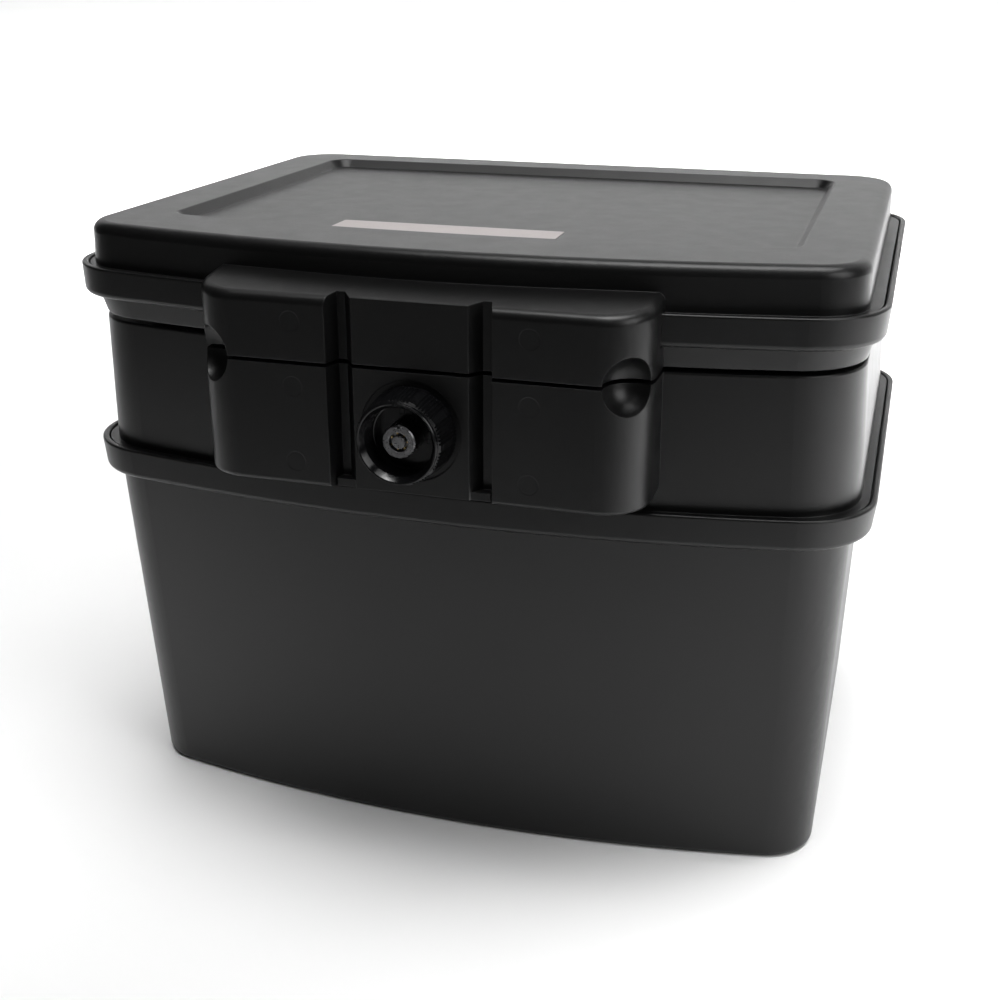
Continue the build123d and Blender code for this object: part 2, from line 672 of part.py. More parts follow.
with BuildPart() as neck:
    loft([outline(LID_BOTTOM, NECK_LOW, WALL_CORNER), outline(BAND_BOTTOM + 1, NECK_HIGH, WALL_CORNER)])
    fillet(neck.edges().group_by(Axis.Z)[0], NECK_EDGE)

with BuildPart() as lid_liner:
    add(band.part)
    add(neck.part)
    for centre in (-HINGE_X, HINGE_X):
        add(lug(LID_ARM, centre - LID_LUG / 2, centre + LID_LUG / 2, PIN_RADIUS + PIN_RUNNING))
    channel_floor = BAND_BOTTOM + SKIN
    channel = outline(channel_floor, BAND, BAND_CORNER - LIP, grow=-LIP)
    extrude(channel, amount=BAND_LIP, mode=Mode.SUBTRACT)
    loft(
        [outline(LID_BOTTOM + SKIN, NECK_LOW, WALL_CORNER - SKIN, grow=-SKIN),
         outline(channel_floor, NECK_HIGH, WALL_CORNER - SKIN, grow=-SKIN)],
        mode=Mode.SUBTRACT,
    )
    fillet(lid_liner.edges().group_by(Axis.Z)[-1], LIP_EDGE)
    extrude(seal_plan(LID_BOTTOM, SEAL_WIDTH / 2 + SKIN, -SEAL_WIDTH / 2 - SKIN), amount=SEAL_DEPTH + SKIN)
    extrude(seal_plan(LID_BOTTOM, SEAL_WIDTH / 2, -SEAL_WIDTH / 2), amount=SEAL_DEPTH, mode=Mode.SUBTRACT)
    extrude(space_plan(LID_BOTTOM - PANEL_DROP, PANEL_GAP), amount=PANEL_DROP)
    fillet(lid_liner.edges().group_by(Axis.Z)[0], PANEL_EDGE)
    panel_hollow = space_plan(LID_BOTTOM - PANEL_DROP + SKIN, PANEL_GAP, -SKIN)
    extrude(panel_hollow, amount=PANEL_DROP + 1, mode=Mode.SUBTRACT)
save(lid_liner, "lid_liner")

with BuildPart() as lid_gasket:
    seal_foot = seal_plan(BODY_TOP + SEAL_GAP, SEAL_WIDTH / 2, -SEAL_WIDTH / 2)
    extrude(seal_foot, amount=LID_BOTTOM + SEAL_DEPTH - BODY_TOP - SEAL_GAP)
    fillet(lid_gasket.edges().group_by(Axis.Z)[0], SEAL_EDGE)
save(lid_gasket, "lid_gasket")

# ---- upper half of the latch block ----
upper_blank = block_blank(LID_BOTTOM, BLOCK_TOP_BACK + 5 - LID_BOTTOM)
with BuildPart() as upper_block:
    add(upper_blank.part)
    with BuildSketch(Plane.YZ):
        with BuildLine():
            Polyline(
                (BLOCK_FRONT, BLOCK_TOP_FRONT), (BLOCK_FRONT + BLOCK_TOP_RUN, BLOCK_TOP_BACK),
                (BLOCK_BACK + 1, BLOCK_TOP_BACK), (BLOCK_BACK + 1, LID_TOP), (BLOCK_FRONT - 1, LID_TOP),
                (BLOCK_FRONT - 1, BLOCK_TOP_FRONT), close=True,
            )
        make_face()
    extrude(amount=BLOCK_HALF + 1, both=True, mode=Mode.SUBTRACT)
    slope_edges = upper_block.faces().filter_by(lambda f: f.normal_at().Z > 0.9).sort_by(Axis.Y)[0].edges()
    fillet(slope_edges.sort_by(Axis.Y)[:-1], BLOCK_EDGE)
    extrude(groove_plan(LID_BOTTOM - 1), amount=LID_TOP - LID_BOTTOM, mode=Mode.SUBTRACT)
    add(scoops(SCOOP_RADIUS), mode=Mode.SUBTRACT)
    add(pin_marks(LID_BOTTOM, LID_TOP), mode=Mode.SUBTRACT)

with BuildPart() as upper_pocket:
    extrude(pocket_plan(LID_BOTTOM - 1), amount=LID_TOP - LID_BOTTOM)
    ceiling_front = BLOCK_TOP_FRONT - BLOCK_WALL
    ceiling_back = BLOCK_TOP_BACK - BLOCK_WALL
    with BuildSketch(Plane.YZ):
        with BuildLine():
            Polyline(
                (BLOCK_FRONT, ceiling_front), (BLOCK_FRONT + BLOCK_TOP_RUN, ceiling_back),
                (BLOCK_BACK + 1, ceiling_back), (BLOCK_BACK + 1, 2 * LID_TOP),
                (BLOCK_FRONT - 1, 2 * LID_TOP), (BLOCK_FRONT - 1, ceiling_front), close=True,
            )
        make_face()
    extrude(amount=BLOCK_HALF + 1, both=True, mode=Mode.SUBTRACT)
    add(scoops(SCOOP_RADIUS + BLOCK_WALL), mode=Mode.SUBTRACT)
    for stem in HOOK_STEM_X:
        for reach in STRIKE_SCREWS:
            with BuildSketch(Plane.XY.offset(STRIKE_TOP)):
                with Locations((stem + STRIKE_X - reach, HOOK_MIDDLE)):
                    Circle(STRIKE_BOSS)
            extrude(amount=20, mode=Mode.SUBTRACT)

# ---- room that the band and the neck take behind the block ----
with BuildPart() as liner_room:
    band_room = outline(BAND_BOTTOM - ROOM, BAND, BAND_CORNER, grow=ROOM)
    extrude(band_room, amount=BAND_LIP - BAND_BOTTOM + 2 * ROOM)
    loft([outline(LID_BOTTOM - 1, NECK_LOW, WALL_CORNER, grow=ROOM),
          outline(BAND_BOTTOM, NECK_HIGH, WALL_CORNER, grow=ROOM)])

with BuildPart() as upper_shelled:
    add(upper_block.part)
    add(upper_pocket.part, mode=Mode.SUBTRACT)
    add(liner_room.part, mode=Mode.SUBTRACT)

# ---- lid cover ----
with BuildPart() as lid_hollow:
    loft([outline(COVER_BOTTOM, COVER_LOW, COVER_CORNER - SKIN, grow=-SKIN),
          outline(LID_TOP - SKIN, COVER_HIGH, COVER_CORNER - SKIN, grow=-SKIN)])
    extrude(recess_plan(LID_TOP - RECESS_DEPTH - SKIN, SKIN), amount=RECESS_DEPTH + SKIN, mode=Mode.SUBTRACT)

with BuildPart() as lid_cover:
    loft([outline(COVER_BOTTOM, COVER_LOW, COVER_CORNER), outline(LID_TOP, COVER_HIGH, COVER_CORNER)])
    fillet(lid_cover.edges().group_by(Axis.Z)[-1], COVER_EDGE)
    cover_flange = outline(COVER_BOTTOM, BAND, BAND_CORNER - LIP - LIP_GROOVE, grow=-LIP - LIP_GROOVE)
    extrude(cover_flange, amount=BAND_LIP - COVER_BOTTOM - FLANGE_DROP)
    add(upper_shelled.part)
    add(lid_hollow.part, mode=Mode.SUBTRACT)
    loft([recess_plan(LID_TOP, 0), recess_plan(LID_TOP - RECESS_DEPTH, -RECESS_DEPTH)], mode=Mode.SUBTRACT)
    fillet(lid_cover.faces().sort_by(Axis.Z)[-1].inner_wires()[0].edges(), RECESS_TOP_EDGE)
    recess_floor = lid_cover.faces().filter_by(Plane.XY).filter_by_position(
        Axis.Z, LID_TOP - RECESS_DEPTH - 0.01, LID_TOP - RECESS_DEPTH + 0.01
    )[0]
    fillet(recess_floor.edges(), RECESS_FOOT_EDGE)
    for stem in HOOK_STEM_X:
        for reach in STRIKE_SCREWS:
            with BuildSketch(Plane.XY.offset(STRIKE_TOP)):
                with Locations((stem + STRIKE_X - reach, HOOK_MIDDLE)):
                    Circle(STRIKE_SCREW_RADIUS)
            extrude(amount=STRIKE_SCREW_LENGTH, mode=Mode.SUBTRACT)
save(lid_cover, "lid_cover")

with BuildPart() as lid_insulation:
    extrude(space_plan(LID_BOTTOM + SEAL_DEPTH + SKIN + 0.3, 0, SEAL_LINE + 8), amount=12)
    top_fill = outline(LID_BOTTOM + 15, COVER_LOW, COVER_CORNER - SKIN, grow=-SKIN - 2)
    extrude(top_fill, amount=LID_TOP - RECESS_DEPTH - SKIN - 0.3 - LID_BOTTOM - 15)
save(lid_insulation, "lid_insulation")

# ---- blank label in the recess ----
with BuildPart() as lid_label:
    with BuildSketch(Plane.XY.offset(LID_TOP - RECESS_DEPTH)):
        with Locations((LABEL_X, LABEL_Y)):
            RectangleRounded(LABEL_WIDTH, LABEL_DEPTH, 1)
    extrude(amount=LABEL_THICKNESS)
save(lid_label, "lid_label")


def strike(stem, name):
    """Steel keeper under the lid block: flange, two legs and the round bar that the hook catches."""
    bar_x = stem + STRIKE_X
    flange_low = bar_x - STRIKE_SCREWS[0] - 4
    flange_high = bar_x + STRIKE_LEG / 2
    with BuildPart() as piece:
        with BuildSketch(Plane.XY.offset(STRIKE_TOP - STRIKE_SHEET)):
            with Locations(((flange_low + flange_high) / 2, HOOK_MIDDLE)):
                Rectangle(flange_high - flange_low, STRIKE_SPAN)
            with Locations(*[(bar_x - reach, HOOK_MIDDLE) for reach in STRIKE_SCREWS]):
                Circle(STRIKE_SCREW_RADIUS, mode=Mode.SUBTRACT)
        extrude(amount=STRIKE_SHEET)
        for side in (-1, 1):
            leg_y = HOOK_MIDDLE + side * (STRIKE_SPAN - STRIKE_SHEET) / 2
            with BuildSketch(Plane.XY.offset(STRIKE_Z - STRIKE_BAR_RADIUS)):
                with Locations((bar_x, leg_y)):
                    Rectangle(STRIKE_LEG, STRIKE_SHEET)
            extrude(amount=STRIKE_TOP - STRIKE_Z + STRIKE_BAR_RADIUS)
        with BuildSketch(across(HOOK_MIDDLE + STRIKE_SPAN / 2, bar_x, STRIKE_Z)):
            Circle(STRIKE_BAR_RADIUS)
        extrude(amount=STRIKE_SPAN)
    save(piece, name)


strike(HOOK_STEM_X[0], "strike_right")
strike(HOOK_STEM_X[1], "strike_left")

with BuildPart() as strike_screws:
    for stem in HOOK_STEM_X:
        for reach in STRIKE_SCREWS:
            with Locations((stem + STRIKE_X - reach, HOOK_MIDDLE, STRIKE_TOP - STRIKE_SHEET)):
                Cylinder(
                    STRIKE_SCREW_RADIUS, STRIKE_SCREW_LENGTH, align=(Align.CENTER, Align.CENTER, Align.MIN)
                )
                Cylinder(*STRIKE_SCREW_HEAD, align=(Align.CENTER, Align.CENTER, Align.MAX))
save(strike_screws, "strike_screws")

# ---- knob: bevelled cup with a floor, a knurled outside and a hub through the front wall ----
KNOB_PLANE = Plane(origin=(0, 0, AXIS_Z), x_dir=(0, 1, 0), z_dir=(1, 0, 0))
KNOB_AXIS = Axis((0, 0, AXIS_Z), (0, 1, 0))

# one groove of the knurl in the frame of across(0): +Y up, +Z to the front, origin on the knob's axis
groove_slope = (0, KNOB_SHOULDER_RADIUS - KNOB_BASE_RADIUS, KNOB_BASE_Y - KNOB_SHOULDER_Y)
with BuildPart() as knurl_groove:
    with BuildSketch(Plane(origin=(0, KNOB_BASE_RADIUS, -KNOB_BASE_Y - 0.5), z_dir=groove_slope)):
        Circle(KNURL_RADIUS)
    extrude(amount=KNOB_BASE_Y - KNOB_SHOULDER_Y + 2)

with BuildPart() as knob:
    with BuildSketch(KNOB_PLANE):
        with BuildLine():
            Polyline(
                (KNOB_RIM_Y + RIM_EDGE, KNOB_RIM_RADIUS), (KNOB_SHOULDER_Y - 0.8, KNOB_RIM_RADIUS + 0.1),
                (KNOB_SHOULDER_Y, KNOB_SHOULDER_RADIUS), (KNOB_BASE_Y, KNOB_BASE_RADIUS),
                (KNOB_BASE_Y, KNOB_SKIRT), (KNOB_FLOOR_Y + KNOB_FLOOR, KNOB_SKIRT),
                (KNOB_FLOOR_Y + KNOB_FLOOR, HUB_RADIUS), (HUB_BACK_Y, HUB_RADIUS),
                (HUB_BACK_Y, 0), (BARREL_BACK_Y, 0), (BARREL_BACK_Y, BARREL_RADIUS),
                (KNOB_FLOOR_Y, BARREL_RADIUS), (KNOB_FLOOR_Y, KNOB_FLOOR_RADIUS),
                (KNOB_FLOOR_Y - 1.2, KNOB_FLOOR_RADIUS), (KNOB_FLOOR_Y - 1.5, KNOB_FLOOR_RADIUS + 0.6),
                (KNOB_RIM_Y + KNOB_BEVEL, KNOB_INNER), (KNOB_RIM_Y + 0.3, KNOB_RIM_INNER),
                (KNOB_RIM_Y, KNOB_RIM_INNER + RIM_EDGE), (KNOB_RIM_Y, KNOB_RIM_RADIUS - RIM_EDGE),
                close=True,
            )
        make_face()
    revolve(axis=KNOB_AXIS)
    for number in range(KNURL_GROOVES):
        from_lobe = 180 / KNURL_LOBES + (number - (KNURL_GROOVES - 1) / 2) * KNURL_PITCH
        with Locations(across(0).location):
            with PolarLocations(0, KNURL_LOBES, start_angle=-KNURL_TURN - from_lobe):
                add(knurl_groove.part, mode=Mode.SUBTRACT)
    # index notch in the rim, chamber of the cam, slot of the bolt and holes of the crank's screws
    with BuildSketch(across(KNOB_RIM_Y + 1.2, 0, AXIS_Z + (KNOB_INNER + KNOB_RIM_RADIUS) / 2)):
        Rectangle(INDEX_NOTCH, 5)
    extrude(amount=2, mode=Mode.SUBTRACT)
    with BuildSketch(across(BOLT_Y[0] - BOLT_ROOM)):
        Circle(CAM_RADIUS + 0.4)
    extrude(amount=BOLT_Y[0] - BARREL_BACK_Y, mode=Mode.SUBTRACT)
    with BuildSketch(across(HUB_BACK_Y)):
        slot_low = BOLT_LOW - 0.8
        with Locations((0, (slot_low + KNOB_BASE_RADIUS) / 2)):
            Rectangle(2 * (BOLT_BODY_HALF + BOLT_ROOM), KNOB_BASE_RADIUS - slot_low)
    extrude(amount=HUB_BACK_Y - BOLT_Y[0] + BOLT_ROOM, mode=Mode.SUBTRACT)
    with BuildSketch(across(HUB_BACK_Y)):
        with Locations(*CRANK_SCREWS):
            Circle(CRANK_SCREW_RADIUS)
    extrude(amount=CRANK_SCREW_DEPTH, mode=Mode.SUBTRACT)
save(knob, "knob")

with BuildPart() as lock_barrel:
    with BuildSketch(across(BARREL_BACK_Y)):
        Circle(BARREL_RADIUS)
    extrude(amount=BARREL_BACK_Y - BARREL_FRONT_Y)
    chamfer(lock_barrel.edges().sort_by(Axis.Y)[0], BARREL_EDGE)
    with BuildSketch(across(BARREL_BACK_Y)):
        Circle(KEYWAY_RADIUS)
    extrude(amount=BARREL_BACK_Y - BARREL_FRONT_Y, mode=Mode.SUBTRACT)
    with BuildSketch(across(BARREL_FRONT_Y + 1.4, 0, AXIS_Z + BARREL_RADIUS)):
        Rectangle(1.8, 3)
    extrude(amount=2, mode=Mode.SUBTRACT)
save(lock_barrel, "lock_barrel")

with BuildPart() as crank_disc:
    crank_back = HUB_BACK_Y + CRANK_DISC
    with BuildSketch(across(crank_back)):
        Circle(CRANK_DISC_RADIUS)
    extrude(amount=CRANK_DISC)
    pin_reach = CRANK_THROW * sin(radians(CRANK_ANGLE))
    with BuildSketch(across(BAR_BACK_Y, -pin_reach, AXIS_Z + pin_reach)):
        Circle(CRANK_PIN_RADIUS)
    extrude(amount=BAR_BACK_Y - crank_back + 0.5)
    for x, z in CRANK_SCREWS:
        with Locations(Plane(origin=(x, crank_back, AXIS_Z + z), z_dir=(0, 1, 0)).location):
            CounterSinkHole(CRANK_SCREW_RADIUS, CRANK_SCREW_HEAD, counter_sink_angle=90)
save(crank_disc, "crank_disc")

with BuildPart() as crank_screws:
    for x, z in CRANK_SCREWS:
        with BuildSketch(Plane(origin=(x, 0, AXIS_Z + z), x_dir=(0, 1, 0), z_dir=(1, 0, 0))):
            with BuildLine():
                Polyline(
                    (crank_back, 0), (crank_back, CRANK_SCREW_HEAD),
                    (crank_back - CRANK_SCREW_HEAD + CRANK_SCREW_RADIUS, CRANK_SCREW_RADIUS),
                    (HUB_BACK_Y - CRANK_SCREW_DEPTH, CRANK_SCREW_RADIUS),
                    (HUB_BACK_Y - CRANK_SCREW_DEPTH, 0), close=True,
                )
            make_face()
        revolve(axis=Axis((x, 0, AXIS_Z + z), (0, 1, 0)))
save(crank_screws, "crank_screws")

# ---- sliding latch: bar with a crank slot and two stud slots, and two hooks riveted to its front ----
with BuildPart() as latch_bar:
    with BuildSketch(across(BAR_BACK_Y, 0, 0)):
        with Locations((sum(BAR_X) / 2, (BAR_LOW + BAR_HIGH) / 2)):
            RectangleRounded(BAR_X[1] - BAR_X[0], BAR_HIGH - BAR_LOW, 2)
        with Locations((-pin_reach, sum(CRANK_SLOT_Z) / 2)):
            slot_height = CRANK_SLOT_Z[1] - CRANK_SLOT_Z[0]
            RectangleRounded(2 * CRANK_SLOT_HALF, slot_height, CRANK_SLOT_HALF - 0.1, mode=Mode.SUBTRACT)
        with Locations(*[(x - BAR_TRAVEL / 2, GUIDE_Z) for x in STUD_X]):
            stud_slot = BAR_TRAVEL + 2 * STUD_SLOT_HALF
            RectangleRounded(stud_slot, 2 * STUD_SLOT_HALF, STUD_SLOT_HALF - 0.1, mode=Mode.SUBTRACT)
        for stem in HOOK_STEM_X:
            with Locations(*[(stem + HOOK_STEM / 2, z) for z in RIVET_Z]):
                Circle(RIVET_RADIUS, mode=Mode.SUBTRACT)
    extrude(amount=BAR_BACK_Y - BAR_FRONT_Y)
save(latch_bar, "latch_bar")


def hook(stem, name):
    """Flat steel hook: a foot riveted to the bar, an upright stem and a tip that points right."""
    with BuildPart() as piece:
        with BuildSketch(across(HOOK_Y[1], stem, 0)) as profile:
            with Locations((HOOK_STEM / 2, (BAR_LOW + BAR_HIGH) / 2)):
                Rectangle(HOOK_FOOT, BAR_HIGH - BAR_LOW - 3)
            with Locations((HOOK_STEM / 2, (BAR_LOW + HOOK_TOP) / 2 + 1)):
                Rectangle(HOOK_STEM, HOOK_TOP - BAR_LOW - 2)
            with Locations((HOOK_TIP / 2, (HOOK_TIP_LOW + HOOK_TOP) / 2)):
                Rectangle(HOOK_TIP, HOOK_TOP - HOOK_TIP_LOW)
            fillet(profile.vertices().group_by(Axis.Y)[-1], 1.5)
            with Locations(*[(HOOK_STEM / 2, z) for z in RIVET_Z]):
                Circle(RIVET_RADIUS, mode=Mode.SUBTRACT)
        extrude(amount=HOOK_Y[1] - HOOK_Y[0])
    save(piece, name)


hook(HOOK_STEM_X[0], "hook_right")
hook(HOOK_STEM_X[1], "hook_left")

with BuildPart() as hook_rivets:
    with BuildSketch(across(BAR_BACK_Y, 0, 0)):
        for stem in HOOK_STEM_X:
            with Locations(*[(stem + HOOK_STEM / 2, z) for z in RIVET_Z]):
                Circle(RIVET_RADIUS)
    extrude(amount=BAR_BACK_Y - HOOK_Y[0])
save(hook_rivets, "hook_rivets")

# ---- tubular lock: turning plug with its pins, a cam with an off-centre pin, and the bolt it lifts ----
with BuildPart() as key_plug:
    with BuildSketch(across(CAM_FRONT_Y)):
        Circle(KEYWAY_RADIUS - PLUG_FIT)
    extrude(amount=CAM_FRONT_Y - KEYWAY_FLOOR_Y)
    with BuildSketch(across(KEYWAY_FLOOR_Y)):
        Circle(POST_RADIUS)
    extrude(amount=KEYWAY_FLOOR_Y - POST_FRONT_Y)
    fillet(key_plug.edges().sort_by(Axis.Y)[0], 0.3)
save(key_plug, "key_plug")

with BuildPart() as key_pins:
    with BuildSketch(across(KEYWAY_FLOOR_Y)):
        with PolarLocations(KEY_PIN_CIRCLE, KEY_PINS):
            Circle(KEY_PIN_RADIUS)
    extrude(amount=KEY_PIN_LENGTH)
save(key_pins, "key_pins")

with BuildPart() as lock_cam:
    with BuildSketch(across(CAM_BACK_Y)):
        Circle(CAM_RADIUS)
    extrude(amount=CAM_BACK_Y - CAM_FRONT_Y)
    with BuildSketch(across(CAM_PIN_Y, -CAM_PIN, AXIS_Z - CAM_PIN)):
        Circle(CAM_PIN_RADIUS)
    extrude(amount=CAM_PIN_Y - CAM_BACK_Y)
save(lock_cam, "lock_cam")

with BuildPart() as lock_bolt:
    with BuildSketch(across(BOLT_Y[1])):
        with Locations((0, (BOLT_LOW + BOLT_SHOULDER) / 2)):
            Rectangle(2 * BOLT_BODY_HALF, BOLT_SHOULDER - BOLT_LOW)
        with Locations((0, BOLT_TOP / 2)):
            Rectangle(2 * BOLT_NOSE_HALF, BOLT_TOP)
        with Locations((sum(CAM_SLOT_X) / 2, -CAM_PIN)):
            Rectangle(CAM_SLOT_X[1] - CAM_SLOT_X[0], 2 * CAM_SLOT_HALF, mode=Mode.SUBTRACT)
    extrude(amount=BOLT_Y[1] - BOLT_Y[0])
save(lock_bolt, "lock_bolt")
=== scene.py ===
import json
from math import cos, pi, radians, sin

import bmesh
import bpy
from mathutils import Matrix, Vector


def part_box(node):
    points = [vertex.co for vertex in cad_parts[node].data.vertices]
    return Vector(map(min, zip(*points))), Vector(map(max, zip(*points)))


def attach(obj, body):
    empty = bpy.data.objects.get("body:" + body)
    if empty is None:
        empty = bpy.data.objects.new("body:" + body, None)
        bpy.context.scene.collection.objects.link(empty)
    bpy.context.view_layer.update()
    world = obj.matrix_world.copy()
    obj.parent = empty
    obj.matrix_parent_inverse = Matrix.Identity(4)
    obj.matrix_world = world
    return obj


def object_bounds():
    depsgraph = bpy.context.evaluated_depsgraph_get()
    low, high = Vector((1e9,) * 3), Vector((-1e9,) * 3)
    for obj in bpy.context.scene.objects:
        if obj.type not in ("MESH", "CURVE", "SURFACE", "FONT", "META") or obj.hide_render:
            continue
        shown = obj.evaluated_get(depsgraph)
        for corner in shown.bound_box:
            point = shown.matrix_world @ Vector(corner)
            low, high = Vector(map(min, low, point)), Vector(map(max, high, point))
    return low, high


# Fireproof document box: camera, studio, materials for every CAD node, and the small trim pieces.
# Everything is in metres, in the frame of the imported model.

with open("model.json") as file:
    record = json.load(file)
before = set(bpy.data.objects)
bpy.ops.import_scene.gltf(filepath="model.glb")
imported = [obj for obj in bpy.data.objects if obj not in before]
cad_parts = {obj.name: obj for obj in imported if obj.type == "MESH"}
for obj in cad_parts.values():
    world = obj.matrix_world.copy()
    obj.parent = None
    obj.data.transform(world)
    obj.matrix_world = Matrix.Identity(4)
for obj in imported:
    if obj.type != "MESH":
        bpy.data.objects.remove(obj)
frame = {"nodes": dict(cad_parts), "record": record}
cad_low, cad_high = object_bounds()
scene = bpy.context.scene
scene.view_settings.view_transform = "Standard"
scene.view_settings.look = "None"

MM = 0.001


# ---- camera ----
CAMERA_AZIMUTH = radians(16.5485)
CAMERA_ELEVATION = radians(21.1811)
CAMERA_ROLL = radians(0.1065)
CAMERA_PLACE = Vector((0.222365, -0.799978, 0.464782))
CAMERA_LENS = 50.380


def make_camera():
    back = Vector((
        sin(CAMERA_AZIMUTH) * cos(CAMERA_ELEVATION),
        -cos(CAMERA_AZIMUTH) * cos(CAMERA_ELEVATION),
        sin(CAMERA_ELEVATION),
    ))
    level_right = (-back).cross(Vector((0, 0, 1))).normalized()
    level_up = level_right.cross(-back)
    right = level_right * cos(CAMERA_ROLL) + level_up * sin(CAMERA_ROLL)
    up = level_up * cos(CAMERA_ROLL) - level_right * sin(CAMERA_ROLL)
    data = bpy.data.cameras.new("camera")
    data.lens = CAMERA_LENS
    data.sensor_width = 36.0
    data.clip_start = 0.01
    data.clip_end = 60.0
    camera = bpy.data.objects.new("camera", data)
    turn = Matrix((right, up, back)).transposed().to_4x4()
    camera.matrix_world = Matrix.Translation(CAMERA_PLACE) @ turn
    scene.collection.objects.link(camera)
    scene.camera = camera


make_camera()


# ---- node helpers ----
class Nodes:
    """Short names for building one material's node tree."""

    def __init__(self, name):
        self.material = bpy.data.materials.new(name)
        self.material.use_nodes = True
        self.tree = self.material.node_tree
        self.shader = self.tree.nodes["Principled BSDF"]
        self.place = self.add("ShaderNodeTexCoord").outputs["Object"]

    def add(self, kind, **settings):
        node = self.tree.nodes.new(kind)
        for key, value in settings.items():
            setattr(node, key, value)
        return node

    def link(self, out, into):
        self.tree.links.new(out, into)

    def noise(self, scale, detail=3.0, rough=0.5, stretch=None):
        node = self.add("ShaderNodeTexNoise")
        node.inputs["Scale"].default_value = scale
        node.inputs["Detail"].default_value = detail
        node.inputs["Roughness"].default_value = rough
        if stretch:
            mapping = self.add("ShaderNodeMapping")
            mapping.inputs["Scale"].default_value = stretch
            self.link(self.place, mapping.inputs["Vector"])
            self.link(mapping.outputs["Vector"], node.inputs["Vector"])
        else:
            self.link(self.place, node.inputs["Vector"])
        return node.outputs["Fac"]

    def span(self, value, low, high, to_low, to_high):
        node = self.add("ShaderNodeMapRange")
        for socket, number in zip(("From Min", "From Max", "To Min", "To Max"), (low, high, to_low, to_high)):
            node.inputs[socket].default_value = number
        self.link(value, node.inputs["Value"])
        return node.outputs["Result"]

    def blend(self, factor, colour_a, colour_b):
        """Mix of two colours; sockets 6 and 7 are the mix node's colours, and output 2 its result."""
        node = self.add("ShaderNodeMix", data_type="RGBA")
        for socket, colour in ((6, colour_a), (7, colour_b)):
            if isinstance(colour, tuple):
                node.inputs[socket].default_value = (*colour, 1.0)
            else:
                self.link(colour, node.inputs[socket])
        self.link(factor, node.inputs[0])
        return node.outputs[2]

    def bump(self, height, strength, distance, normal=None):
        node = self.add("ShaderNodeBump")
        node.inputs["Strength"].default_value = strength
        node.inputs["Distance"].default_value = distance
        self.link(height, node.inputs["Height"])
        if normal:
            self.link(normal, node.inputs["Normal"])
        return node.outputs["Normal"]

    def rounded(self, radius):
        """Shading normal that rounds the sharp edges of a moulded piece."""
        node = self.add("ShaderNodeBevel", samples=6)
        node.inputs["Radius"].default_value = radius
        return node.outputs["Normal"]

    def edges(self, rounded, low=0.35, high=0.02):
        """Mask that is 1 along rounded edges and 0 on flat faces."""
        facing = self.add("ShaderNodeVectorMath", operation="DOT_PRODUCT")
        self.link(rounded, facing.inputs[0])
        self.link(self.add("ShaderNodeNewGeometry").outputs["Normal"], facing.inputs[1])
        return self.span(facing.outputs["Value"], 1.0 - low, 1.0 - high, 1.0, 0.0)

    def set(self, **values):
        names = {"roughness": "Roughness", "metallic": "Metallic", "ior": "IOR"}
        for key, value in values.items():
            self.shader.inputs[names[key]].default_value = value


# ---- materials ----
def moulded_plastic(name, colour, edge_highlight_colour, roughness, ior, grain, depth, edge=0.6 * MM):
    """Spark-textured plastic: fine grain, faint flow marks, and a painted highlight that makes the edges a
    little lighter.
    """
    n = Nodes(name)
    flow = n.noise(9.0, 2.0)
    cloud = n.noise(70.0, 4.0, 0.6)
    fine = n.noise(grain, 2.0, 0.65)
    rounded = n.rounded(edge)
    # painted highlight: an edge mask, broken up by cloud noise, lightens the base colour along rounded edges
    edge_highlight_mask = n.edges(rounded)
    patchy_edge_highlight = n.add("ShaderNodeMath", operation="MULTIPLY")
    n.link(edge_highlight_mask, patchy_edge_highlight.inputs[0])
    n.link(n.span(cloud, 0.35, 0.7, 0.35, 1.0), patchy_edge_highlight.inputs[1])
    dark = tuple(0.8 * c for c in colour)
    base = n.blend(n.span(flow, 0.3, 0.7, 0.0, 1.0), dark, colour)
    # the base colour turns to the painted edge-highlight colour along the edges
    n.link(n.blend(patchy_edge_highlight.outputs[0], base, edge_highlight_colour), n.shader.inputs["Base Color"])
    speck = n.span(cloud, 0.3, 0.7, roughness - 0.015, roughness + 0.02)
    n.link(speck, n.shader.inputs["Roughness"])
    wave = n.bump(flow, 0.03, 1.2 * MM, rounded)
    n.link(n.bump(fine, depth, 0.12 * MM, wave), n.shader.inputs["Normal"])
    n.set(ior=ior)
    return n.material


def polished_plastic(name, colour, roughness):
    """Glossy plastic with patchy haze and a very fine ripple."""
    n = Nodes(name)
    haze = n.noise(240.0, 4.0, 0.6)
    fine = n.noise(1400.0, 2.0)
    n.link(n.span(haze, 0.3, 0.7, roughness - 0.05, roughness + 0.07), n.shader.inputs["Roughness"])
    n.link(n.blend(haze, colour, tuple(1.6 * c for c in colour)), n.shader.inputs["Base Color"])
    n.link(n.bump(fine, 0.05, 0.05 * MM, n.rounded(0.12 * MM)), n.shader.inputs["Normal"])
    n.set(ior=1.38)
    return n.material


def bare_metal(name, colour, roughness, stretch, streaks, edge=0.25 * MM):
    """Turned or drawn metal: fine streaks one way, patchy haze and a painted highlight that makes the edges
    slightly brighter.
    """
    n = Nodes(name)
    streak = n.noise(streaks, 3.0, 0.6, stretch)
    haze = n.noise(160.0, 4.0, 0.6)
    rounded = n.rounded(edge)
    dull = tuple(0.72 * c for c in colour)
    body = n.blend(n.span(haze, 0.3, 0.7, 0.0, 1.0), dull, colour)
    edge_highlight_tint = tuple(min(1.0, 1.25 * c) for c in colour)
    # painted highlight: the base colour turns brighter along rounded edges
    n.link(n.blend(n.edges(rounded), body, edge_highlight_tint), n.shader.inputs["Base Color"])
    n.link(n.span(streak, 0.3, 0.7, roughness - 0.07, roughness + 0.09), n.shader.inputs["Roughness"])
    n.link(n.bump(streak, 0.12, 0.04 * MM, rounded), n.shader.inputs["Normal"])
    n.set(metallic=1.0)
    return n.material


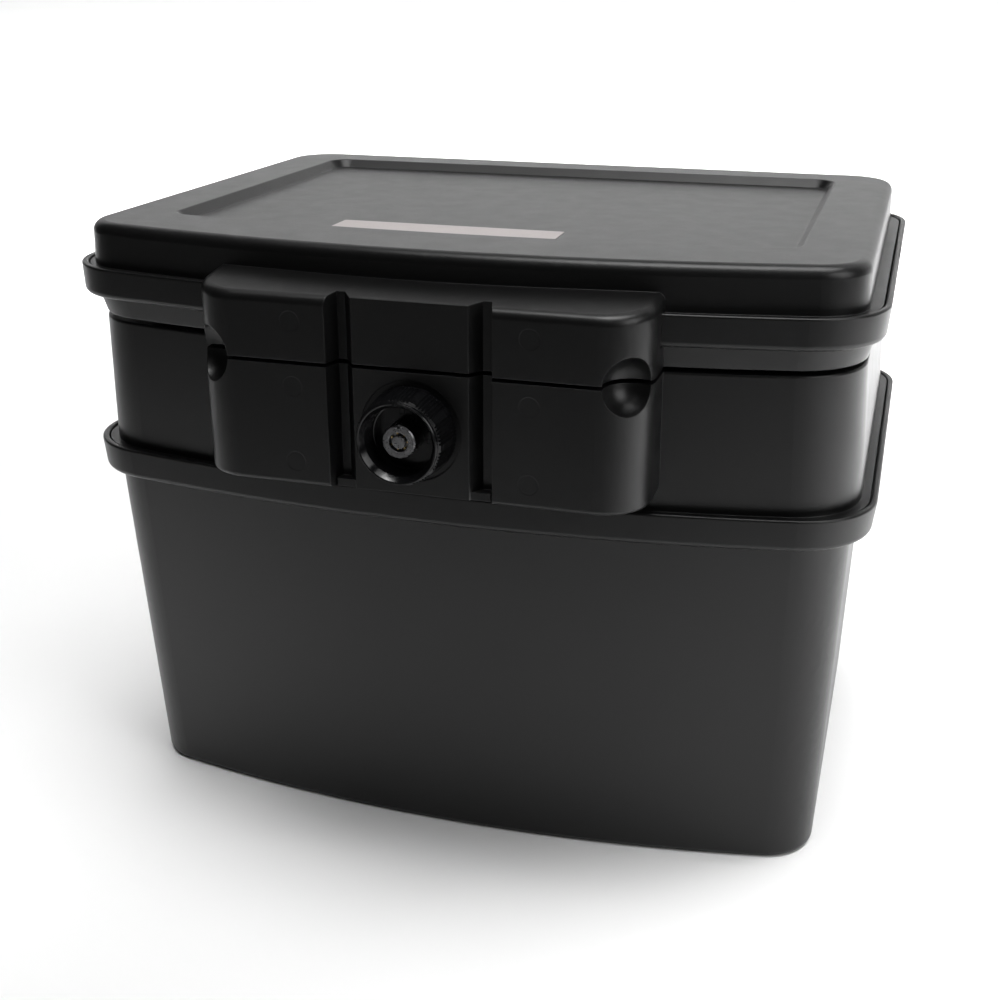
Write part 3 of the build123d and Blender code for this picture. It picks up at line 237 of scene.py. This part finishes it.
def cast_fill(name):
    """Dry cast insulation with sandy grains and small pores."""
    n = Nodes(name)
    sand = n.noise(700.0, 5.0, 0.7)
    pores = n.add("ShaderNodeTexVoronoi")
    pores.inputs["Scale"].default_value = 260.0
    n.link(n.place, pores.inputs["Vector"])
    n.link(n.blend(sand, (0.50, 0.48, 0.44), (0.70, 0.68, 0.62)), n.shader.inputs["Base Color"])
    pitted = n.bump(n.span(pores.outputs["Distance"], 0.0, 0.35, 0.0, 1.0), 0.5, 0.5 * MM)
    n.link(n.bump(sand, 0.4, 0.3 * MM, pitted), n.shader.inputs["Normal"])
    n.set(roughness=0.9)
    return n.material


def seal_rubber(name):
    """Matt sponge rubber with a skin of small pores."""
    n = Nodes(name)
    pores = n.add("ShaderNodeTexVoronoi")
    pores.inputs["Scale"].default_value = 900.0
    n.link(n.place, pores.inputs["Vector"])
    cloud = n.noise(120.0, 4.0)
    n.link(n.blend(cloud, (0.018, 0.018, 0.018), (0.035, 0.034, 0.033)), n.shader.inputs["Base Color"])
    n.link(n.bump(pores.outputs["Distance"], 0.35, 0.15 * MM), n.shader.inputs["Normal"])
    n.set(roughness=0.75)
    return n.material


def label_film(name):
    """Blank satin label stock with a faint fibre."""
    n = Nodes(name)
    fibre = n.noise(900.0, 4.0, 0.7, (1.0, 0.35, 1.0))
    cloud = n.noise(45.0, 3.0)
    pale = n.blend(cloud, (0.43, 0.39, 0.385), (0.51, 0.46, 0.455))
    threads = n.span(fibre, 0.35, 0.75, 0.0, 0.35)
    n.link(n.blend(threads, pale, (0.57, 0.52, 0.515)), n.shader.inputs["Base Color"])
    n.link(n.bump(fibre, 0.08, 0.05 * MM), n.shader.inputs["Normal"])
    n.set(roughness=0.45, ior=1.4)
    return n.material


# the third colour of each is the painted edge highlight
SHELL = moulded_plastic(
    "shell_black", (0.0045, 0.0045, 0.0046), (0.012, 0.012, 0.0125), 0.34, 1.40, 2600.0, 0.28)
LINER = moulded_plastic(
    "liner_charcoal", (0.020, 0.020, 0.022), (0.035, 0.035, 0.037), 0.45, 1.42, 2200.0, 0.30)
KNOB = polished_plastic("knob_gloss", (0.003, 0.003, 0.0033), 0.15)
CHROME = bare_metal("lock_chrome", (0.20, 0.20, 0.205), 0.30, (1.0, 0.1, 1.0), 900.0)
STEEL = bare_metal("zinc_steel", (0.55, 0.56, 0.58), 0.32, (0.08, 1.0, 1.0), 700.0)
BRASS = bare_metal("lock_brass", (0.68, 0.50, 0.22), 0.28, (1.0, 0.1, 1.0), 900.0)
FILL = cast_fill("insulation_fill")
RUBBER = seal_rubber("seal_rubber")
LABEL = label_film("label_blank")

FINISH = {
    "shell_black": SHELL, "liner_charcoal": LINER, "knob_gloss": KNOB, "lock_chrome": CHROME,
    "zinc_steel": STEEL, "lock_brass": BRASS, "insulation_fill": FILL, "seal_rubber": RUBBER,
    "label_blank": LABEL,
}


def finish_nodes():
    """Gives every CAD node the material of its slot in the record."""
    for part in frame["record"]["subparts"]:
        mesh = frame["nodes"][part["node"]].data
        mesh.materials.clear()
        mesh.materials.append(FINISH[part["material_slot"]])


finish_nodes()


# ---- trim on the knob: two plain raised marks, at the top and at the right of its floor ----
MARK_REACH = 12.1 * MM  # from the knob's axis
MARK_SPACING = 3.7 * MM
MARK_LONG = 1.9 * MM
MARK_WIDE = 1.3 * MM
MARK_HEIGHT = 0.3 * MM
KNOB_FLOOR_DEPTH = 17.2 * MM  # from the back of the knob's hub to its floor
BAR_TAPER = 0.22


def raised_bar(mesh, centre, half_x, half_z):
    """Adds one low bar with sloping sides, standing on a floor that faces -Y."""
    base = [centre + Vector((a * half_x, 0, b * half_z)) for a, b in ((-1, -1), (1, -1), (1, 1), (-1, 1))]
    top = [corner.lerp(centre, BAR_TAPER) - Vector((0, MARK_HEIGHT, 0)) for corner in base]
    ring = [mesh.verts.new(p) for p in base]
    face = [mesh.verts.new(p) for p in top]
    mesh.faces.new(face)
    mesh.faces.new(ring[::-1])
    for number in range(4):
        following = (number + 1) % 4
        mesh.faces.new((ring[number], ring[following], face[following], face[number]))


def knob_mark(name, outward, half_x, half_z):
    """A pair of bars side by side, at MARK_REACH from the knob's axis."""
    low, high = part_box("knob")
    middle = Vector(((low.x + high.x) / 2, high.y - KNOB_FLOOR_DEPTH, (low.z + high.z) / 2))
    across = Vector((outward.z, 0, outward.x))
    mesh = bmesh.new()
    for side in (-0.5, 0.5):
        raised_bar(mesh, middle + outward * MARK_REACH + across * side * MARK_SPACING, half_x, half_z)
    bmesh.ops.recalc_face_normals(mesh, faces=mesh.faces)
    data = bpy.data.meshes.new(name)
    mesh.to_mesh(data)
    mesh.free()
    data.materials.append(KNOB)
    piece = bpy.data.objects.new(name, data)
    scene.collection.objects.link(piece)
    soften = piece.modifiers.new("soften", "BEVEL")
    soften.width = 0.08 * MM
    soften.segments = 2
    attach(piece, "knob")


def make_knob_marks():
    knob_mark("knob_mark_top", Vector((0, 0, 1)), MARK_WIDE, MARK_LONG)
    knob_mark("knob_mark_side", Vector((1, 0, 0)), MARK_LONG, MARK_WIDE)


make_knob_marks()


# ---- studio ----
SWEEP_START = 1.9
SWEEP_RADIUS = 0.9
SWEEP_TOP = 5.0
SWEEP_HALF = 5.0
SWEEP_STEPS = 12
SWEEP_GLOW = 0.5


def make_floor():
    bpy.ops.mesh.primitive_plane_add(size=30.0, location=(0, 0, cad_low.z - 0.2 * MM))
    floor = bpy.context.object
    floor.name = "studio_floor"
    n = Nodes("studio_floor")
    n.link(n.blend(n.noise(3.0, 2.0), (0.86, 0.86, 0.86), (0.90, 0.90, 0.90)), n.shader.inputs["Base Color"])
    n.set(roughness=0.85)
    floor.data.materials.append(n.material)


def softbox(name, place, aim, width, height, radiance, spread):
    """Rectangular soft light with a given surface brightness and spread in degrees."""
    data = bpy.data.lights.new(name, "AREA")
    data.shape = "RECTANGLE"
    data.size = width
    data.size_y = height
    data.energy = radiance * pi * width * height
    data.spread = radians(spread)
    light = bpy.data.objects.new(name, data)
    light.location = place
    light.rotation_euler = (Vector(aim) - Vector(place)).to_track_quat("-Z", "Y").to_euler()
    scene.collection.objects.link(light)


def make_world(brightness):
    world = bpy.data.worlds.new("studio")
    world.use_nodes = True
    background = world.node_tree.nodes["Background"]
    background.inputs["Color"].default_value = (1.0, 1.0, 1.0, 1.0)
    background.inputs["Strength"].default_value = brightness
    scene.world = world


def make_backdrop():
    """White sweep behind the object, softly lit from within, that the top of the box mirrors."""
    mesh = bmesh.new()
    turns = [step * pi / 2 / SWEEP_STEPS for step in range(SWEEP_STEPS + 1)]
    curve = [Vector((0, SWEEP_START + SWEEP_RADIUS * sin(t), SWEEP_RADIUS * (1 - cos(t)))) for t in turns]
    curve.append(Vector((0, SWEEP_START + SWEEP_RADIUS, SWEEP_TOP)))
    for side in (-SWEEP_HALF, SWEEP_HALF):
        for point in curve:
            mesh.verts.new(point + Vector((side, 0, cad_low.z)))
    mesh.verts.ensure_lookup_table()
    for k in range(len(curve) - 1):
        corners = (k, k + 1, len(curve) + k + 1, len(curve) + k)
        mesh.faces.new([mesh.verts[c] for c in corners]).smooth = True
    data = bpy.data.meshes.new("studio_backdrop")
    mesh.to_mesh(data)
    mesh.free()
    backdrop = bpy.data.objects.new("studio_backdrop", data)
    scene.collection.objects.link(backdrop)
    n = Nodes("studio_backdrop")
    n.link(n.blend(n.noise(2.0, 2.0), (0.86, 0.86, 0.86), (0.90, 0.90, 0.90)), n.shader.inputs["Base Color"])
    n.shader.inputs["Emission Color"].default_value = (1.0, 1.0, 1.0, 1.0)
    n.shader.inputs["Emission Strength"].default_value = SWEEP_GLOW
    n.set(roughness=0.9)
    data.materials.append(n.material)


make_floor()
make_backdrop()
make_world(0.03)
# each light: name, place, aim, width, height, radiance, spread in degrees
softbox("overhead", (0.15, 0.15, 1.05), (0.15, 0.15, 0.0), 1.5, 1.2, 0.50, 40)
softbox("front_floor", (0.1, -0.4, 1.0), (0.1, -0.4, 0.0), 1.3, 0.35, 0.5, 40)
softbox("right_floor", (1.1, 0.15, 1.5), (1.02, 0.0, 0.0), 0.8, 1.0, 3.6, 50)
softbox("right_rear", (1.1, 1.3, 1.7), (0.6, 0.85, 0.0), 0.7, 0.7, 2.5, 50)
softbox("right_front", (1.3, -0.7, 0.95), (0.1, -0.2, 0.25), 0.9, 0.9, 1.6, 120)
softbox("rear_floor", (0.0, 1.5, 1.6), (0.0, 1.5, 0.0), 5.0, 1.4, 3.0, 60)
softbox("left_floor", (-0.8, 0.2, 1.2), (-0.75, 0.15, 0.0), 0.6, 1.0, 0.6, 45)
softbox("front_top", (0.2, -1.4, 1.9), (0.1, -0.2, 0.25), 0.9, 0.5, 0.4, 120)
softbox("top_key", (0.52, -0.42, 1.7), (0.1, -0.2, 0.28), 0.5, 0.5, 1.6, 120)
